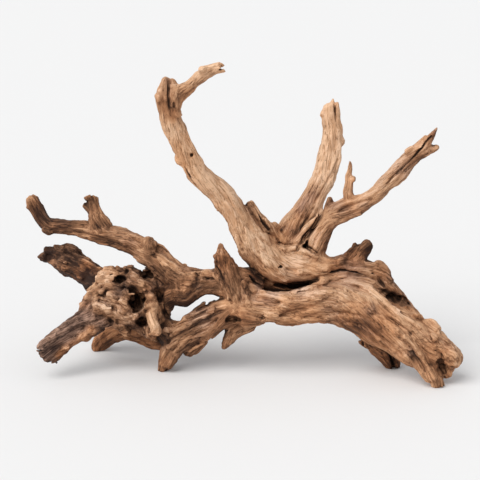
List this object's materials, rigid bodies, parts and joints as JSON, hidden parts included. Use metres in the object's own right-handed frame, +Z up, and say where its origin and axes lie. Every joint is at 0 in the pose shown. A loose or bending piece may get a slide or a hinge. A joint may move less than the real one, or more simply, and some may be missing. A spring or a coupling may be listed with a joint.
{
  "type": "piece of driftwood",
  "caption": "weathered branching root wood that stands on its own stubby roots, with a hollow burl, for display or as a perch or tank decoration",
  "frame": {"origin": "on the ground under the middle of the piece, at the bottom centre of its box", "axes": "+X runs along the length of the piece towards the thick end of the trunk, +Y goes to its back, +Z is up"},
  "size_m": [0.5695, 0.2175, 0.4251],
  "materials": {
    "bare_wood": "dry weathered bare wood, matte, with worn grain"
  },
  "bodies": {
    "root": {"driftwood": "bare_wood"}
  },
  "joints": []
}
